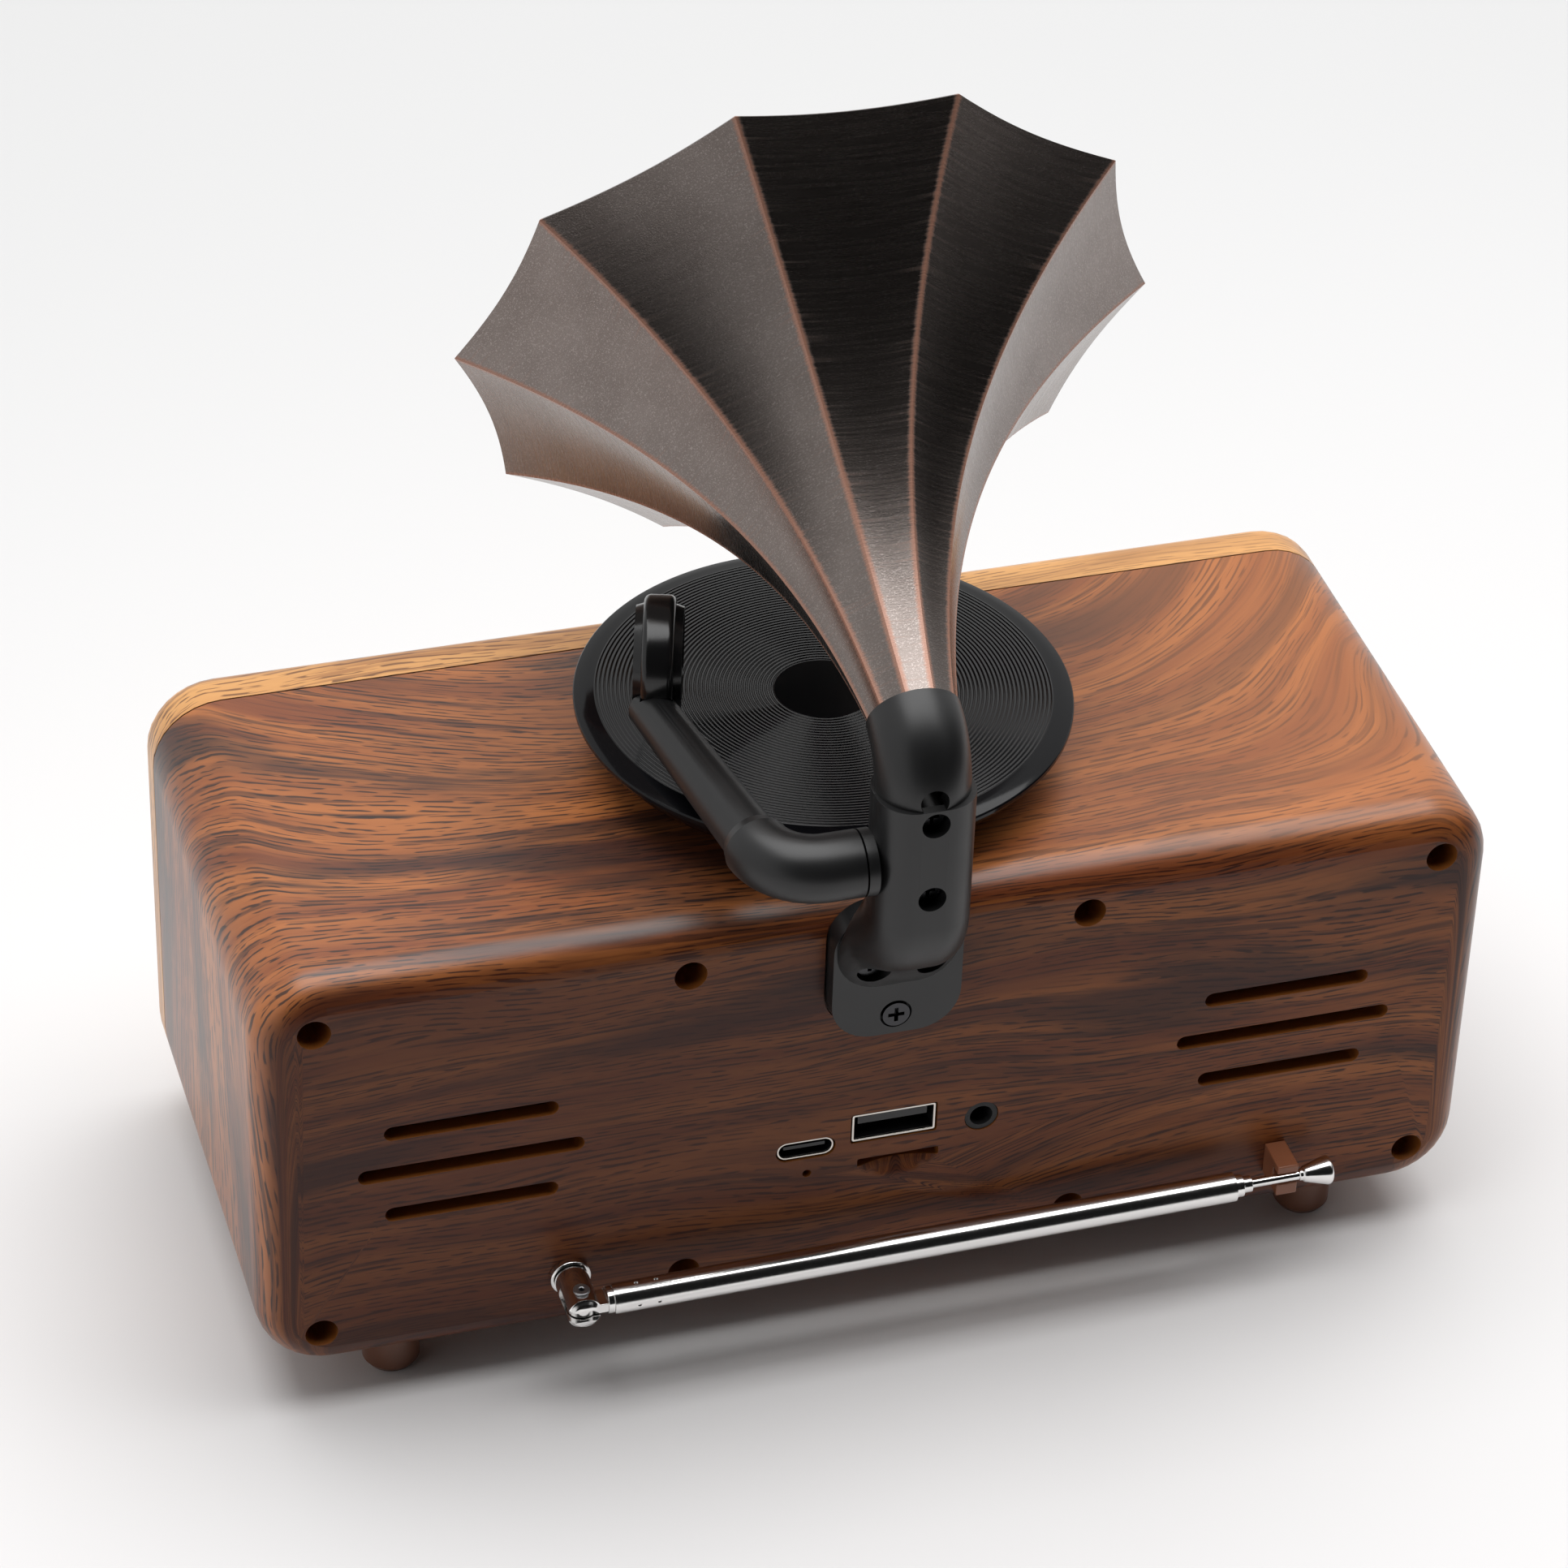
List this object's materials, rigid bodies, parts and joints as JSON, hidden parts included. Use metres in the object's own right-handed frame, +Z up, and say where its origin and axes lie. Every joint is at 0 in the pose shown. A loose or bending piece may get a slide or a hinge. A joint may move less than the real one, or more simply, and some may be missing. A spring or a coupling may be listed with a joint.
{
  "type": "horn loudspeaker",
  "caption": "Gramophone-styled desktop loudspeaker: wood-grain cabinet, faceted horn, turning platter, tonearm and telescopic antenna.",
  "frame": {"origin": "middle of the bounding box on the plane the feet stand on", "axes": "+Z up, the front with the grille and the knob faces -Y, +X is on the left seen from behind"},
  "size_m": [0.192, 0.107, 0.19],
  "materials": {
    "wood_brown": "satin, printed wood grain",
    "wood_front": "satin, printed wood grain",
    "matte_black": "matte",
    "gloss_black": "gloss",
    "horn_bronze": "satin, copper worn ribs",
    "foot_copper": "satin",
    "clip_brown": "satin",
    "record_black": "gloss, fine grooves",
    "antenna_chrome": "polished",
    "screw_steel": "satin",
    "screw_black": "satin",
    "socket_steel": "satin",
    "bush_brass": "satin",
    "panel_copper": "satin copper",
    "inner_black": "matte",
    "board_green": "satin",
    "cloth_tan": "woven",
    "cone_paper": "matte paper",
    "battery_wrap": "gloss film"
  },
  "bodies": {
    "cabinet": {"cabinet_shell": "wood_brown", "front_bezel": "wood_front", "cabinet_screws": "screw_steel", "foot_rear_left": "foot_copper", "foot_rear_right": "foot_copper", "foot_front_left": "foot_copper", "foot_front_right": "foot_copper", "foot_screws": "screw_steel", "column_rear": "matte_black", "column_front": "matte_black", "column_screws": "screw_black", "mount_screws": "screw_black", "horn_elbow": "matte_black", "horn": "horn_bronze", "arm_bush": "matte_black", "spindle_bush": "bush_brass", "platter_motor": "screw_steel", "antenna_flange": "antenna_chrome", "antenna_clip": "clip_brown", "grille_board": "inner_black", "grille_cloth": "cloth_tan", "control_panel": "panel_copper", "encoder": "inner_black", "key_board": "board_green", "driver_frames": "inner_black", "driver_cones": "cone_paper", "driver_magnets": "screw_steel", "driver_screws": "screw_steel", "main_board": "board_green", "board_screws": "screw_steel", "usb_a_socket": "socket_steel", "usb_c_socket": "socket_steel", "line_jack": "inner_black", "card_socket": "socket_steel", "battery": "battery_wrap", "battery_tray": "inner_black"},
    "arm": {"arm_elbow": "matte_black", "arm_tube": "matte_black", "reproducer": "gloss_black", "reproducer_ring_inner": "gloss_black", "reproducer_ring_outer": "gloss_black", "needle": "screw_steel"},
    "turntable": {"platter": "record_black", "platter_spindle": "screw_steel"},
    "knob": {"rotary_knob": "panel_copper", "knob_shaft": "screw_steel"},
    "key_a": {"key_1": "panel_copper"},
    "key_b": {"key_2": "panel_copper"},
    "key_c": {"key_3": "panel_copper"},
    "key_d": {"key_4": "panel_copper"},
    "key_e": {"key_5": "panel_copper"},
    "antenna_fork": {"antenna_post": "antenna_chrome", "antenna_nut": "screw_steel", "antenna_pin": "screw_steel"},
    "antenna_outer": {"antenna_plug": "antenna_chrome", "antenna_tube_1": "antenna_chrome"},
    "antenna_second": {"antenna_tube_2": "antenna_chrome"},
    "antenna_third": {"antenna_tube_3": "antenna_chrome"},
    "antenna_tip": {"antenna_rod": "antenna_chrome", "antenna_knob": "antenna_chrome"}
  },
  "joints": [
    {"name": "platter_spin", "type": "hinge", "parent": "cabinet", "child": "turntable", "pos_m": [-0.0009, -0.0035, 0.0823], "axis": [0, 0, 1], "continuous": true},
    {"name": "tonearm_lift", "type": "hinge", "parent": "cabinet", "child": "arm", "pos_m": [0.0093, 0.0471, 0.0974], "axis": [-1, 0, 0], "range_deg": [0, 10]},
    {"name": "antenna_swivel", "type": "hinge", "parent": "cabinet", "child": "antenna_fork", "pos_m": [0.0488, 0.037, 0.0195], "axis": [0, 1, 0], "range_deg": [-270, 30]},
    {"name": "antenna_tilt", "type": "hinge", "parent": "antenna_fork", "child": "antenna_outer", "pos_m": [0.0488, 0.0442, 0.0195], "axis": [0, 0, -1], "range_deg": [0, 90]},
    {"name": "antenna_slide_2", "type": "slide", "parent": "antenna_outer", "child": "antenna_second", "axis": [-0.9999, -0.0122, 0], "range_m": [0, 0.085], "deforming": ["antenna_clip"]},
    {"name": "antenna_slide_3", "type": "slide", "parent": "antenna_second", "child": "antenna_third", "axis": [-0.9999, -0.0122, 0], "range_m": [0, 0.085]},
    {"name": "antenna_slide_tip", "type": "slide", "parent": "antenna_third", "child": "antenna_tip", "axis": [-0.9999, -0.0122, 0], "range_m": [0, 0.085]},
    {"name": "knob_turn", "type": "hinge", "parent": "cabinet", "child": "knob", "pos_m": [0, -0.045, 0.0506], "axis": [0, 1, 0], "continuous": true},
    {"name": "key_press_1", "type": "slide", "parent": "cabinet", "child": "key_a", "axis": [0, 1, 0], "range_m": [0, 0.0008], "stiffness_N_per_m": 1500},
    {"name": "key_press_2", "type": "slide", "parent": "cabinet", "child": "key_b", "axis": [0, 1, 0], "range_m": [0, 0.0008], "stiffness_N_per_m": 1500},
    {"name": "key_press_3", "type": "slide", "parent": "cabinet", "child": "key_c", "axis": [0, 1, 0], "range_m": [0, 0.0008], "stiffness_N_per_m": 1500},
    {"name": "key_press_4", "type": "slide", "parent": "cabinet", "child": "key_d", "axis": [0, 1, 0], "range_m": [0, 0.0008], "stiffness_N_per_m": 1500},
    {"name": "key_press_5", "type": "slide", "parent": "cabinet", "child": "key_e", "axis": [0, 1, 0], "range_m": [0, 0.0008], "stiffness_N_per_m": 1500}
  ]
}
